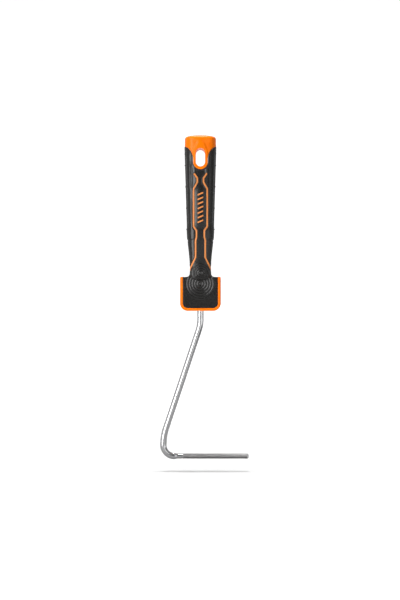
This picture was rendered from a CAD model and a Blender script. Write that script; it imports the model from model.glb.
"""Looks of a bare mini paint roller frame: a bent steel wire in a two-colour moulded handle.

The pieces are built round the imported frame, in its own axes: X along the roller arm to its tip,
Z up the handle to its butt, and -Y out of the marked face. Sizes are in millimetres until a mesh
is made. Heights up the handle are measured from the foot of its thumb rest.
"""

import logging
import math
from dataclasses import dataclass, field
from enum import Enum
from functools import partial
from typing import Callable, Optional, Sequence

import bmesh
import bpy
import numpy as np
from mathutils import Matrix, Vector


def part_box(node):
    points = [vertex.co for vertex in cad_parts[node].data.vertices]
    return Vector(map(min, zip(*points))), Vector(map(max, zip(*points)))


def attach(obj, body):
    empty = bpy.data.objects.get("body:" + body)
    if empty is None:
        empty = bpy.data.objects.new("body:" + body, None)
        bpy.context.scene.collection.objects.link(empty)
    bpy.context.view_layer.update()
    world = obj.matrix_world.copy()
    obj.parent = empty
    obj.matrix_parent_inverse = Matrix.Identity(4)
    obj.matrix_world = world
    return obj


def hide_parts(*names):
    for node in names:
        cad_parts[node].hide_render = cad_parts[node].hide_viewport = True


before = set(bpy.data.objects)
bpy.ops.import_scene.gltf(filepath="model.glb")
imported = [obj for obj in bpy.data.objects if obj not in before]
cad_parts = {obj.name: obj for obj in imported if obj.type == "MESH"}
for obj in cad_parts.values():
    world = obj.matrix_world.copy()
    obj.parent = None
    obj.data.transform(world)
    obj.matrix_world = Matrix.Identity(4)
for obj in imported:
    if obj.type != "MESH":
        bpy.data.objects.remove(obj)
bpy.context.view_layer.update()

MM = 0.001
WELD = 0.0008
QUARTER_TURN = math.pi / 2
NEARLY = 1e-6
ROW_SLACK = 1e-4
SHOULDER_STEPS = (0.0, 0.02, 0.06, 0.12, 0.2, 0.32, 0.5, 0.75, 1.05)
LOG = logging.getLogger("roller_frame")

Array = np.ndarray
Point = tuple[float, float]


class Node(Enum):
    """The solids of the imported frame."""

    WIRE = "roller_wire"
    ANCHOR = "wire_anchor"
    CORE = "handle_core"
    GRIP = "soft_grip"


class Slot(Enum):
    """The record's material slots."""

    STEEL = "steel_wire"
    ANCHOR = "anchor_plastic"
    HARD = "hard_plastic"
    SOFT = "soft_plastic"


class Way(Enum):
    """The two sides of the handle, as the sign that X has there."""

    LEFT = -1
    RIGHT = 1


class Face(Enum):
    """The two broad faces of the handle, as the sign that Y has there."""

    FRONT = -1
    BACK = 1


# Curves and edges


def smooth_step(low: float, high: float, value: Array) -> Array:
    """Eases from 0 at low to 1 at high.

    Args:
        low: value where the result leaves 0. It may be above high.
        high: value where the result reaches 1.
        value: numbers to ease.

    Returns:
        Numbers from 0 to 1, in the shape of value.
    """
    share = np.clip((value - low) / (high - low), 0.0, 1.0)
    return share * share * (3.0 - 2.0 * share)


def hump(centre: float | Array, half: float, value: Array) -> Array:
    """A smooth hump of height 1.

    Args:
        centre: value at its top.
        half: distance from the top to where it ends.
        value: numbers to look up.

    Returns:
        Heights from 0 to 1, in the shape of value.
    """
    share = np.clip(1.0 - ((value - centre) / half) ** 2, 0.0, 1.0)
    return share * share


def smooth_least(one: Array, other: Array, blend: float) -> Array:
    """The lesser of two surfaces, with the crease between them rounded.

    Args:
        one: heights of the first surface.
        other: heights of the second surface.
        blend: difference in height over which the crease is rounded.

    Returns:
        The rounded lesser height.
    """
    share = np.clip(0.5 + 0.5 * (other - one) / blend, 0.0, 1.0)
    return other + (one - other) * share - blend * share * (1.0 - share)


def rolled_edge(distance: Array, radius: float) -> Array:
    """How far a surface drops as it rolls over an edge.

    Args:
        distance: distance in from the edge.
        radius: radius of the roll.

    Returns:
        The drop: the radius at the edge, and 0 beyond the roll.
    """
    inward = radius - np.clip(distance, 0.0, radius)
    return radius - np.sqrt(np.maximum(radius**2 - inward**2, 0.0))


def crossing(gap: Callable[[float], float], low: float, high: float) -> float:
    """The place where a gap closes, found by halving.

    Args:
        gap: a function that is negative at low and positive at high.
        low: one end of the search.
        high: the other end of the search.

    Returns:
        Where the gap is nothing.
    """
    for _ in range(50):
        middle = (low + high) / 2
        if gap(middle) < 0:
            low = middle
        else:
            high = middle
    return (low + high) / 2


def quarter_steps(step: float) -> Array:
    """Angles of a quarter turn in even steps of some degrees."""
    return np.radians(np.arange(0.0, 91.0, step))


def merged_rows(marks: Sequence[float], fill: Sequence[float], gap: float) -> Array:
    """Heights of a mesh's rows: every mark, and the fill rows that are clear of the marks.

    Args:
        marks: heights that a row has to have.
        fill: heights that rows may have.
        gap: least distance between a fill row and a mark.

    Returns:
        The heights from low to high.
    """
    fixed = np.unique(np.round(np.asarray(marks, float), 5))
    free = np.asarray(fill, float)
    clear = np.abs(free[:, None] - fixed[None, :]).min(axis=1) > gap
    inside = (free > fixed[0]) & (free < fixed[-1])
    return np.unique(np.concatenate([fixed, free[clear & inside]]))


def spread(
    low: Array, high: Array, count: int, edge: Sequence[float], per_mm: Array
) -> Array:
    """Angles of a mesh's columns between two edges, closer together beside the edges.

    Args:
        low: angle of the first edge in each row.
        high: angle of the second edge in each row.
        count: number of even columns between the close ones.
        edge: distances of the close columns from each edge, from 0 up.
        per_mm: angle for each millimetre round the handle in each row.

    Returns:
        One row of angles for each row of the mesh.
    """
    steps = np.outer(per_mm, np.asarray(edge, float))
    room = 0.3 * (high - low) / np.maximum(steps[:, -1], 1e-9)
    steps = steps * np.minimum(1.0, np.maximum(room, 0.0))[:, None]
    start = low[:, None] + steps
    end = high[:, None] - steps[:, ::-1]
    share = np.linspace(0.0, 1.0, count + 2)[1:-1]
    middle = start[:, -1:] + (end[:, :1] - start[:, -1:]) * share
    return np.hstack([start, middle, end])


def line_distance(x: Array, h: Array, path: Sequence[Point]) -> Array:
    """Distance from points to a bent line.

    Args:
        x: distances of the points from the middle of the handle.
        h: heights of the points.
        path: corners of the line.

    Returns:
        The distance of each point.
    """
    nearest = np.full(np.broadcast(x, h).shape, 1e9)
    for (ax, ah), (bx, bh) in zip(path[:-1], path[1:]):
        run, rise = bx - ax, bh - ah
        share = ((x - ax) * run + (h - ah) * rise) / (run * run + rise * rise)
        share = np.clip(share, 0.0, 1.0)
        away = np.hypot(x - ax - share * run, h - ah - share * rise)
        nearest = np.minimum(nearest, away)
    return nearest


# Meshes


class Sheet:
    """Collects patches of four-sided faces and welds them into one object."""

    def __init__(self) -> None:
        """Starts with no faces."""
        self.points: list[Array] = []
        self.faces: list[Array] = []
        self.count = 0

    def patch(self, grid: Array, keep: Optional[Array] = None) -> None:
        """Adds a grid of points as faces.

        Args:
            grid: points in rows and columns.
            keep: for each face, whether it is made. All are made without it.
        """
        rows, columns = grid.shape[:2]
        index = self.count + np.arange(rows * columns).reshape(rows, columns)
        quads = np.stack(
            [index[:-1, :-1], index[:-1, 1:], index[1:, 1:], index[1:, :-1]], axis=-1
        )
        quads = quads[keep] if keep is not None else quads.reshape(-1, 4)
        self.points.append(grid.reshape(-1, 3))
        self.faces.append(quads.reshape(-1, 4))
        self.count += rows * columns

    def loops(self, rings: Array, closed_ends: bool = True) -> None:
        """Joins closed rings of points, one after another.

        Args:
            rings: the rings, each with as many points as the others.
            closed_ends: whether the first and last rings are filled.
        """
        rings = np.asarray(rings, float)
        self.patch(np.concatenate([rings, rings[:, :1]], axis=1))
        if closed_ends:
            for ring in (rings[0], rings[-1]):
                middle = np.broadcast_to(ring.mean(axis=0), ring.shape)
                fan = np.stack([ring, middle])
                self.patch(np.concatenate([fan, fan[:, :1]], axis=1))

    def build(self, name: str, sharp: float = 40.0) -> bpy.types.Object:
        """Makes the object, in metres, with shared points welded.

        Args:
            name: name of the piece.
            sharp: angle in degrees from which an edge is shaded sharp.

        Returns:
            The new object.
        """
        mesh = bpy.data.meshes.new(name)
        points = np.concatenate(self.points) * MM
        faces = np.concatenate(self.faces)
        mesh.from_pydata(points.tolist(), [], faces.tolist())
        worked = bmesh.new()
        worked.from_mesh(mesh)
        bmesh.ops.remove_doubles(worked, verts=worked.verts, dist=WELD * MM)
        bmesh.ops.dissolve_degenerate(worked, edges=worked.edges, dist=WELD * MM)
        bmesh.ops.recalc_face_normals(worked, faces=worked.faces)
        worked.to_mesh(mesh)
        worked.free()
        mesh.shade_smooth()
        mesh.set_sharp_from_angle(angle=math.radians(sharp))
        piece = bpy.data.objects.new(name, mesh)
        bpy.context.scene.collection.objects.link(piece)
        return piece


def ring_wave(away: Array, pitch: float) -> Array:
    """Round waves from 0 to 1, with a crest in their middle."""
    return 0.5 + 0.5 * np.cos(2 * math.pi * away / pitch)


def edge_walls(top: Array, under: Array) -> list[Array]:
    """The four narrow walls that join the edges of two grids.

    Args:
        top: one grid of points.
        under: the other grid, with as many rows and columns.

    Returns:
        The walls, as grids of points.
    """
    pairs = (
        (top[0], under[0]),
        (top[-1], under[-1]),
        (top[:, 0], under[:, 0]),
        (top[:, -1], under[:, -1]),
    )
    return [np.stack(pair, axis=1) for pair in pairs]


def mirrored(grid: Array, way: Way, face: Face) -> Array:
    """A grid made for the right of the front face, turned over to another quarter.

    Args:
        grid: points of the front right quarter.
        way: side of the handle that it goes to.
        face: face of the handle that it goes to.

    Returns:
        The turned grid.
    """
    return grid * np.array([way.value, -face.value, 1.0])


QUARTERS = [(way, face) for way in Way for face in Face]


# Finishes


class Links:
    """A short way to add and join nodes in a node tree."""

    def __init__(self, tree: bpy.types.NodeTree) -> None:
        """Takes the tree that it works in."""
        self.tree = tree

    def node(self, kind: str, **values: object) -> bpy.types.Node:
        """Adds a node.

        Args:
            kind: the node's type name.
            values: properties of the node.

        Returns:
            The new node.
        """
        made = self.tree.nodes.new(kind)
        for key, value in values.items():
            setattr(made, key, value)
        return made

    def join(self, source: bpy.types.NodeSocket, target: bpy.types.NodeSocket) -> None:
        """Links one socket to another."""
        self.tree.links.new(source, target)

    def feed(self, socket: bpy.types.NodeSocket, value: object) -> None:
        """Links a socket to another, or sets it to a number or a colour.

        Args:
            socket: the socket that takes the value.
            value: a socket, a number or a colour.
        """
        if isinstance(value, bpy.types.NodeSocket):
            self.join(value, socket)
        else:
            socket.default_value = value

    def maths(self, operation: str, one: object, other: object = 0.0) -> bpy.types.NodeSocket:
        """Adds a Math node.

        Args:
            operation: what it does.
            one: a socket or a number.
            other: a socket or a number.

        Returns:
            Its result socket.
        """
        made = self.node("ShaderNodeMath", operation=operation)
        for socket, value in zip(made.inputs, (one, other)):
            self.feed(socket, value)
        return made.outputs[0]

    def mix(
        self, share: object, one: object, other: object, kind: str = "RGBA"
    ) -> bpy.types.NodeSocket:
        """Adds a Mix node.

        Args:
            share: how much of the other is mixed in, as a socket or a number.
            one: a socket, a colour or a number.
            other: a socket, a colour or a number.
            kind: the node's data type.

        Returns:
            Its result socket.
        """
        made = self.node("ShaderNodeMix", data_type=kind)
        for label, value in (("Factor", share), ("A", one), ("B", other)):
            self.feed(made.inputs[label], value)
        return made.outputs["Result"]

    def ranged(
        self,
        value: bpy.types.NodeSocket,
        given: tuple[object, object],
        wanted: Point,
        ease: str = "LINEAR",
    ) -> bpy.types.NodeSocket:
        """Adds a Map Range node.

        Args:
            value: the socket that it takes its value from.
            given: the low and high of that value, as sockets or numbers.
            wanted: the low and high of the result.
            ease: how it runs from low to high.

        Returns:
            Its result socket.
        """
        made = self.node("ShaderNodeMapRange", interpolation_type=ease)
        self.join(value, made.inputs["Value"])
        labels = ("From Min", "From Max", "To Min", "To Max")
        for label, end in zip(labels, (*given, *wanted)):
            self.feed(made.inputs[label], end)
        return made.outputs["Result"]

    def place(self) -> bpy.types.NodeSocket:
        """Adds the place of a point on its own object."""
        return self.node("ShaderNodeTexCoord").outputs["Object"]

    def noise(
        self,
        place: bpy.types.NodeSocket,
        scale: object,
        detail: float = 2.0,
        roughness: float = 0.5,
    ) -> bpy.types.NodeSocket:
        """Adds a Noise Texture node.

        Args:
            place: the socket that it takes its place from.
            scale: its scale, as a socket or a number.
            detail: how many finer layers it has.
            roughness: how strong the finer layers are.

        Returns:
            Its value socket.
        """
        made = self.node("ShaderNodeTexNoise")
        self.join(place, made.inputs["Vector"])
        values = {"Scale": scale, "Detail": detail, "Roughness": roughness}
        for label, value in values.items():
            self.feed(made.inputs[label], value)
        return made.outputs["Fac"]

    def bump(
        self, height: bpy.types.NodeSocket, strength: float, distance: float
    ) -> bpy.types.NodeSocket:
        """Adds a Bump node.

        Args:
            height: the socket that it takes its height from.
            strength: how strong it is.
            distance: the height of a full step, in metres.

        Returns:
            Its normal socket.
        """
        made = self.node("ShaderNodeBump")
        made.inputs["Strength"].default_value = strength
        made.inputs["Distance"].default_value = distance
        self.join(height, made.inputs["Height"])
        return made.outputs["Normal"]


def new_group(
    name: str, inputs: dict[str, tuple[str, object]], outputs: dict[str, str]
) -> tuple[bpy.types.NodeTree, Links, bpy.types.Node, bpy.types.Node]:
    """Makes an empty shader node group.

    Args:
        name: name of the group.
        inputs: for each input, its socket type and its usual value.
        outputs: for each output, its socket type.

    Returns:
        The group, its links, its input node and its output node.
    """
    tree = bpy.data.node_groups.new(name, "ShaderNodeTree")
    for label, (kind, usual) in inputs.items():
        socket = tree.interface.new_socket(label, in_out="INPUT", socket_type=kind)
        socket.default_value = usual
    for label, kind in outputs.items():
        tree.interface.new_socket(label, in_out="OUTPUT", socket_type=kind)
    links = Links(tree)
    return tree, links, links.node("NodeGroupInput"), links.node("NodeGroupOutput")


NUMBER = "NodeSocketFloat"
COLOUR = "NodeSocketColor"


def grain_group() -> bpy.types.NodeTree:
    """A spark-eroded mould's grain, as a height and a mask.

    Returns:
        The group.
    """
    tree, links, given, result = new_group(
        "mould_grain",
        {"Scale": (NUMBER, 1500.0), "Clumping": (NUMBER, 0.4)},
        {"Height": NUMBER, "Mask": NUMBER},
    )
    place = links.place()
    fine = links.noise(place, given.outputs["Scale"], detail=4.0, roughness=0.6)
    cells = links.node("ShaderNodeTexVoronoi", feature="SMOOTH_F1")
    links.join(place, cells.inputs["Vector"])
    links.join(links.maths("MULTIPLY", given.outputs["Scale"], 0.6), cells.inputs["Scale"])
    clumps = links.maths("MULTIPLY", cells.outputs["Distance"], given.outputs["Clumping"])
    links.join(links.maths("ADD", fine, clumps), result.inputs["Height"])
    links.join(links.maths("MULTIPLY", fine, fine), result.inputs["Mask"])
    return tree


def drift_group() -> bpy.types.NodeTree:
    """A slow drift of tone over a moulding or a wire.

    Returns:
        The group.
    """
    tree, links, given, result = new_group(
        "tone_drift",
        {
            "Colour": (COLOUR, (0.5, 0.5, 0.5, 1.0)),
            "Other": (COLOUR, (0.4, 0.4, 0.4, 1.0)),
            "Scale": (NUMBER, 40.0),
            "Amount": (NUMBER, 0.3),
        },
        {"Colour": COLOUR, "Mask": NUMBER},
    )
    slow = links.noise(links.place(), given.outputs["Scale"], detail=3.0)
    share = links.maths("MULTIPLY", slow, given.outputs["Amount"])
    colour = links.mix(share, given.outputs["Colour"], given.outputs["Other"])
    links.join(colour, result.inputs["Colour"])
    links.join(slow, result.inputs["Mask"])
    return tree


def wear_group() -> bpy.types.NodeTree:
    """Where handling has rubbed the raised edges, as a mask.

    Returns:
        The group.
    """
    tree, links, given, result = new_group(
        "edge_wear",
        {"Start": (NUMBER, 0.52), "Full": (NUMBER, 0.62), "Scale": (NUMBER, 300.0)},
        {"Mask": NUMBER},
    )
    shape = links.node("ShaderNodeNewGeometry")
    raised = (given.outputs["Start"], given.outputs["Full"])
    edge = links.ranged(shape.outputs["Pointiness"], raised, (0.0, 1.0))
    broken = links.noise(links.place(), given.outputs["Scale"])
    links.join(links.maths("MULTIPLY", edge, broken), result.inputs["Mask"])
    return tree


@dataclass
class Effects:
    """The shared node groups, built once."""

    grain: bpy.types.NodeTree = field(default_factory=grain_group)
    drift: bpy.types.NodeTree = field(default_factory=drift_group)
    wear: bpy.types.NodeTree = field(default_factory=wear_group)


def placed(links: Links, tree: bpy.types.NodeTree, **values: object) -> bpy.types.Node:
    """Puts a node group in a material.

    Args:
        links: the material's links.
        tree: the group.
        values: the group's inputs, as numbers or colours.

    Returns:
        The group's node.
    """
    made = links.node("ShaderNodeGroup", node_tree=tree)
    for label, value in values.items():
        made.inputs[label].default_value = value
    return made


def blank_material(name: str) -> tuple[bpy.types.Material, Links, bpy.types.Node]:
    """Makes a material with nothing but its shader.

    Args:
        name: name of the material.

    Returns:
        The material, its links and its Principled shader.
    """
    material = bpy.data.materials.new(name)
    material.use_nodes = True
    shader = material.node_tree.nodes["Principled BSDF"]
    return material, Links(material.node_tree), shader


Shade = tuple[float, float, float, float]


@dataclass(frozen=True)
class MouldedFinish:
    """A moulded plastic: its shade, its gloss and the grain of its mould."""

    name: str
    shade: Shade
    other_shade: Shade
    worn_shade: Shade
    roughness: float
    roughness_range: float
    grain_scale: float
    grain_depth: float
    grain_clumping: float
    specular: float = 0.5
    wear: float = 0.25
    drift_scale: float = 35.0
    drift_amount: float = 0.9
    grain_height: float = 0.0002

    def material(self, effects: Effects) -> bpy.types.Material:
        """Builds the finish.

        Args:
            effects: the shared node groups.

        Returns:
            The material.
        """
        material, links, shader = blank_material(self.name)
        drift = placed(
            links,
            effects.drift,
            Colour=self.shade,
            Other=self.other_shade,
            Scale=self.drift_scale,
            Amount=self.drift_amount,
        )
        grain = placed(
            links, effects.grain, Scale=self.grain_scale, Clumping=self.grain_clumping
        )
        rubbed = links.maths("MULTIPLY", placed(links, effects.wear).outputs["Mask"], self.wear)
        colour = links.mix(rubbed, drift.outputs["Colour"], self.worn_shade)
        links.join(colour, shader.inputs["Base Color"])
        limits = (self.roughness - self.roughness_range, self.roughness + self.roughness_range)
        gloss = links.ranged(grain.outputs["Mask"], (0.0, 1.0), limits)
        links.join(gloss, shader.inputs["Roughness"])
        normal = links.bump(grain.outputs["Height"], self.grain_depth, self.grain_height)
        links.join(normal, shader.inputs["Normal"])
        shader.inputs["Specular IOR Level"].default_value = self.specular
        return material


@dataclass(frozen=True)
class DrawnSteel:
    """Bright steel wire, with fine lines along it from the drawing die and a duller knurled arm."""

    name: str
    shade: Shade
    other_shade: Shade
    worn_shade: Shade
    groove_shade: Shade
    roughness: float
    groove_roughness: float
    line_depth: float
    roughness_range: float = 0.06
    line_stretch: tuple[float, float, float] = (12.0, 1600.0, 1600.0)
    line_height: float = 0.00005
    drift_scale: float = 60.0
    drift_amount: float = 0.8
    wear_scale: float = 900.0
    wear: float = 0.6

    def material(self, effects: Effects) -> bpy.types.Material:
        """Builds the finish.

        Args:
            effects: the shared node groups.

        Returns:
            The material.
        """
        material, links, shader = blank_material(self.name)
        along = links.node("ShaderNodeAttribute", attribute_name="straightened")
        stretch = links.node("ShaderNodeMapping")
        stretch.inputs["Scale"].default_value = self.line_stretch
        links.join(along.outputs["Vector"], stretch.inputs["Vector"])
        lines = links.noise(stretch.outputs["Vector"], 1.0, detail=3.0)
        drift = placed(
            links,
            effects.drift,
            Colour=self.shade,
            Other=self.other_shade,
            Scale=self.drift_scale,
            Amount=self.drift_amount,
        )
        wear = placed(links, effects.wear, Scale=self.wear_scale)
        rubbed = links.maths("MULTIPLY", wear.outputs["Mask"], self.wear)
        colour = links.mix(rubbed, drift.outputs["Colour"], self.worn_shade)
        grooved = links.node("ShaderNodeAttribute", attribute_name="grooved").outputs["Fac"]
        dulled = links.mix(grooved, colour, self.groove_shade)
        links.join(dulled, shader.inputs["Base Color"])
        limits = (self.roughness - self.roughness_range, self.roughness + self.roughness_range)
        gloss = links.ranged(lines, (0.0, 1.0), limits)
        rough = links.mix(grooved, gloss, self.groove_roughness, kind="FLOAT")
        links.join(rough, shader.inputs["Roughness"])
        normal = links.bump(lines, self.line_depth, self.line_height)
        links.join(normal, shader.inputs["Normal"])
        shader.inputs["Metallic"].default_value = 1.0
        return material


ORANGE = MouldedFinish(
    name="hard_orange",
    shade=(1.0, 0.205, 0.0, 1.0),
    other_shade=(1.0, 0.175, 0.0, 1.0),
    worn_shade=(1.0, 0.30, 0.01, 1.0),
    roughness=0.30,
    roughness_range=0.05,
    specular=0.16,
    grain_scale=1400.0,
    grain_depth=0.05,
    grain_clumping=0.3,
)
STRIPE_ORANGE = MouldedFinish(
    name="stripe_orange",
    shade=(0.80, 0.27, 0.06, 1.0),
    other_shade=(0.74, 0.22, 0.045, 1.0),
    worn_shade=(0.90, 0.36, 0.10, 1.0),
    roughness=0.42,
    roughness_range=0.06,
    grain_scale=1400.0,
    grain_depth=0.08,
    grain_clumping=0.3,
)
SOFT_BLACK = MouldedFinish(
    name="soft_black",
    shade=(0.012, 0.011, 0.0095, 1.0),
    other_shade=(0.007, 0.0065, 0.006, 1.0),
    worn_shade=(0.06, 0.056, 0.05, 1.0),
    roughness=0.29,
    roughness_range=0.07,
    grain_scale=1100.0,
    grain_depth=0.55,
    grain_clumping=0.5,
)
ANCHOR_BLACK = MouldedFinish(
    name="anchor_black",
    shade=(0.014, 0.014, 0.014, 1.0),
    other_shade=(0.010, 0.010, 0.010, 1.0),
    worn_shade=(0.03, 0.03, 0.03, 1.0),
    roughness=0.6,
    roughness_range=0.08,
    grain_scale=900.0,
    grain_depth=0.2,
    grain_clumping=0.4,
)
BRIGHT_STEEL = DrawnSteel(
    name="drawn_steel",
    shade=(0.76, 0.76, 0.77, 1.0),
    other_shade=(0.66, 0.66, 0.67, 1.0),
    worn_shade=(0.88, 0.88, 0.89, 1.0),
    groove_shade=(0.16, 0.155, 0.15, 1.0),
    roughness=0.2,
    groove_roughness=0.6,
    line_depth=0.25,
)


@dataclass
class Dresser:
    """Gives pieces their finish, their slot and the body that they ride on."""

    effects: Effects = field(default_factory=Effects)
    made: dict[str, bpy.types.Material] = field(default_factory=dict)

    def finish(self, look: MouldedFinish | DrawnSteel) -> bpy.types.Material:
        """Gives a finish's material, built the first time that it is asked for.

        Args:
            look: the finish.

        Returns:
            Its material.
        """
        if look.name not in self.made:
            self.made[look.name] = look.material(self.effects)
        return self.made[look.name]

    def dress(
        self,
        piece: bpy.types.Object,
        look: MouldedFinish | DrawnSteel,
        slot: Slot,
        node: Node,
    ) -> bpy.types.Object:
        """Dresses a new piece and sets it in the frame.

        Args:
            piece: the piece.
            look: its finish.
            slot: the record's slot that it takes its finish from.
            node: the solid that it stands for.

        Returns:
            The piece.
        """
        piece.data.materials.clear()
        piece.data.materials.append(self.finish(look))
        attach(piece, "root")
        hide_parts(node.value)
        LOG.info("%s: %d faces, %s", piece.name, len(piece.data.polygons), look.name)
        return piece


# The handle's form


@dataclass(frozen=True)
class HandleForm:
    """The handle's body: round at its sides, with broader front and back faces."""

    foot_z: float
    waist_half: float = 10.2
    swell_half: float = 12.9
    shoulder_half: float = 15.15
    neck_flare: float = 0.3
    butt_taper: float = 0.1
    depth_less: float = 2.6
    face_centre: float = 26.0
    ridge_blend: float = 1.1
    neck_end_h: float = 29.0
    neck_edge_r: float = 2.0
    waist_h: float = 40.5
    swell_h: float = 77.5
    shoulder_h: float = 153.9
    butt_edge_h: float = 162.0
    table_size: int = 241

    def half_width(self, h: Array) -> Array:
        """Half of the handle's width.

        Args:
            h: heights.

        Returns:
            The half-width at each height.
        """
        taper = (h - self.swell_h) / (self.shoulder_h - self.swell_h)
        upper = self.swell_half + (self.shoulder_half - self.swell_half) * taper
        run = np.clip((h - self.waist_h) / (self.swell_h - self.waist_h), 0.0, 1.0)
        eased = (1.0 - np.cos(math.pi * run)) / 2.0
        palm = self.waist_half + (self.swell_half - self.waist_half) * eased
        fall = np.clip((self.waist_h - h) / (self.waist_h - self.neck_end_h), 0.0, 1.0)
        neck = self.neck_flare * (1.0 - np.cos(math.pi * fall)) / 2.0
        above = (h - self.shoulder_h) / (self.butt_edge_h - self.shoulder_h)
        top = self.shoulder_half - self.butt_taper * above
        return np.where(
            h > self.shoulder_h, top, np.where(h > self.swell_h, upper, palm + neck)
        )

    def radius(self, phi: Array, h: Array, inset: Array | float) -> Array:
        """Distance of the surface from the handle's axis.

        Args:
            phi: angles round the handle from the middle of a face.
            h: heights.
            inset: how far in from the handle's full size.

        Returns:
            The distances.
        """
        side = self.half_width(h) - inset
        reach = self.face_centre + self.half_width(h) - self.depth_less - inset
        across = self.face_centre * np.sin(phi)
        face = np.sqrt(reach**2 - across**2) - self.face_centre * np.cos(phi)
        return smooth_least(side, face, self.ridge_blend)

    def angle_at(self, x: Array, h: Array) -> Array:
        """Angle round the handle of a point seen at a distance from its middle.

        Args:
            x: distances from the middle, one for each height.
            h: heights.

        Returns:
            The angles, a quarter turn where the distance is past the side.
        """
        table = np.linspace(0.0, QUARTER_TURN, self.table_size)
        seen = self.radius(table[None, :], h[:, None], 0.0) * np.sin(table)
        seen = np.maximum.accumulate(seen, axis=1)
        reach = np.minimum(x / self.half_width(h), 1.0) * seen[:, -1]
        return np.array(
            [np.interp(r, row, table) for r, row in zip(reach, seen)], float
        )

    def points(self, phi: Array, h: Array, inset: Array) -> Array:
        """Points of the front right quarter.

        Args:
            phi: angles round the handle.
            h: heights.
            inset: how far in from the handle's full size.

        Returns:
            The points.
        """
        radius = self.radius(phi, h, inset)
        height = np.broadcast_to(h, radius.shape) + self.foot_z
        return np.stack(
            [radius * np.sin(phi), -radius * np.cos(phi), height], axis=-1
        )


@dataclass(frozen=True)
class CapSeam:
    """The line where the soft skin meets the hard cap: a hub, then an arc out to each shoulder."""

    hub_r: float = 7.3
    hub_h: float = 140.4
    sweep_h: float = 141.8
    sweep_r: float = 15.1

    @property
    def low_h(self) -> float:
        """Height of the seam's lowest point."""
        return self.hub_h - self.hub_r

    def half_at(self, h: Array) -> Array:
        """Distance of the seam from the handle's middle.

        Args:
            h: heights.

        Returns:
            The distances, 0 below the seam.
        """
        below = np.clip(self.hub_h - h, 0.0, self.hub_r)
        hub = np.sqrt(self.hub_r**2 - below**2)
        above = np.clip(h - self.sweep_h, 0.0, self.sweep_r)
        arc = self.hub_r + self.sweep_r - np.sqrt(self.sweep_r**2 - above**2)
        return np.where(h < self.low_h, 0.0, np.where(h > self.sweep_h, arc, hub))

    def clearance(self, x: Array, h: Array) -> Array:
        """Distance from the seam, above 0 on the soft side.

        Args:
            x: distances from the handle's middle.
            h: heights.

        Returns:
            The distances.
        """
        hub = np.hypot(x, np.minimum(h - self.hub_h, 0.0)) - self.hub_r
        arc = self.sweep_r - np.hypot(
            x - self.hub_r - self.sweep_r, h - self.sweep_h
        )
        return np.where(h > self.sweep_h, arc, hub)


@dataclass(frozen=True)
class HangSlot:
    """The slot through the cap, with round ends."""

    half: float = 4.7
    low_h: float = 140.4
    high_h: float = 148.2

    def half_at(self, h: Array) -> Array:
        """Half of the slot's width, 0 above and below it.

        Args:
            h: heights.

        Returns:
            The half-width at each height.
        """
        past = np.maximum(self.low_h - h, 0.0) + np.maximum(h - self.high_h, 0.0)
        return np.sqrt(np.maximum(self.half**2 - past**2, 0.0))

    def clearance(self, x: Array, h: Array) -> Array:
        """Distance out from the slot's edge.

        Args:
            x: distances from the handle's middle.
            h: heights.

        Returns:
            The distances.
        """
        past = np.maximum(self.low_h - h, 0.0) + np.maximum(h - self.high_h, 0.0)
        return np.hypot(x, past) - self.half


@dataclass(frozen=True)
class StripeLine:
    """The bent line of a hard stripe, from its open upper end to where it runs off the side."""

    width: float = 1.7
    path: tuple[Point, ...] = (
        (6.2, 129.1),
        (3.0, 124.7),
        (3.0, 120.9),
        (6.6, 114.7),
        (6.6, 79.5),
        (3.8, 75.5),
        (3.8, 69.4),
        (4.7, 66.5),
        (4.7, 50.5),
        (12.2, 35.7),
    )

    def edge(self, way: Way) -> Array:
        """One edge of the stripe, with mitred corners.

        Args:
            way: LEFT for the edge nearer the handle's middle, RIGHT for the other.

        Returns:
            Its corners, from high to low.
        """
        path = np.array(self.path)
        corners = []
        for i in range(len(path)):
            before = path[i] - path[i - 1] if i else path[1] - path[0]
            after = path[i + 1] - path[i] if i < len(path) - 1 else before
            before = before / np.linalg.norm(before)
            after = after / np.linalg.norm(after)
            unit = (before + after) / np.linalg.norm(before + after)
            reach = self.width / 2 / float(unit @ before)
            out = np.array([-unit[1], unit[0]])
            corners.append(path[i] + way.value * reach * out)
        return np.array(corners)

    def edges_at(self, h: Array) -> tuple[Array, Array]:
        """Distances of both edges from the handle's middle.

        Args:
            h: heights.

        Returns:
            The inner edge's and the outer edge's distances.
        """
        inner, outer = self.edge(Way.LEFT), self.edge(Way.RIGHT)
        outer = np.vstack([inner[:1], outer])
        return tuple(
            np.interp(h, line[::-1, 1], line[::-1, 0]) for line in (inner, outer)
        )

    def corner_heights(self) -> list[float]:
        """Heights of every corner of both edges."""
        return [float(p[1]) for way in Way for p in self.edge(way)[:-1]]

    @property
    def top_h(self) -> float:
        """Height of the stripe's upper end."""
        return float(self.edge(Way.LEFT)[0, 1])

    def clearance(self, x: Array, h: Array) -> Array:
        """Distance out from the stripe's edge."""
        return line_distance(x, h, self.path) - self.width / 2


# The soft skin


@dataclass(frozen=True)
class Band:
    """A stretch of heights over which a shape eases in and out again."""

    start: float
    full: float
    fade: float
    end: float

    def share(self, h: Array) -> Array:
        """How much of the shape there is, from 0 to 1, at each height."""
        return smooth_step(self.start, self.full, h) * smooth_step(self.end, self.fade, h)


@dataclass(frozen=True)
class SideLine:
    """A ridge, or a groove where its rise is below 0, that runs beside the handle's side."""

    rise: float
    from_side: float
    half: float


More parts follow.
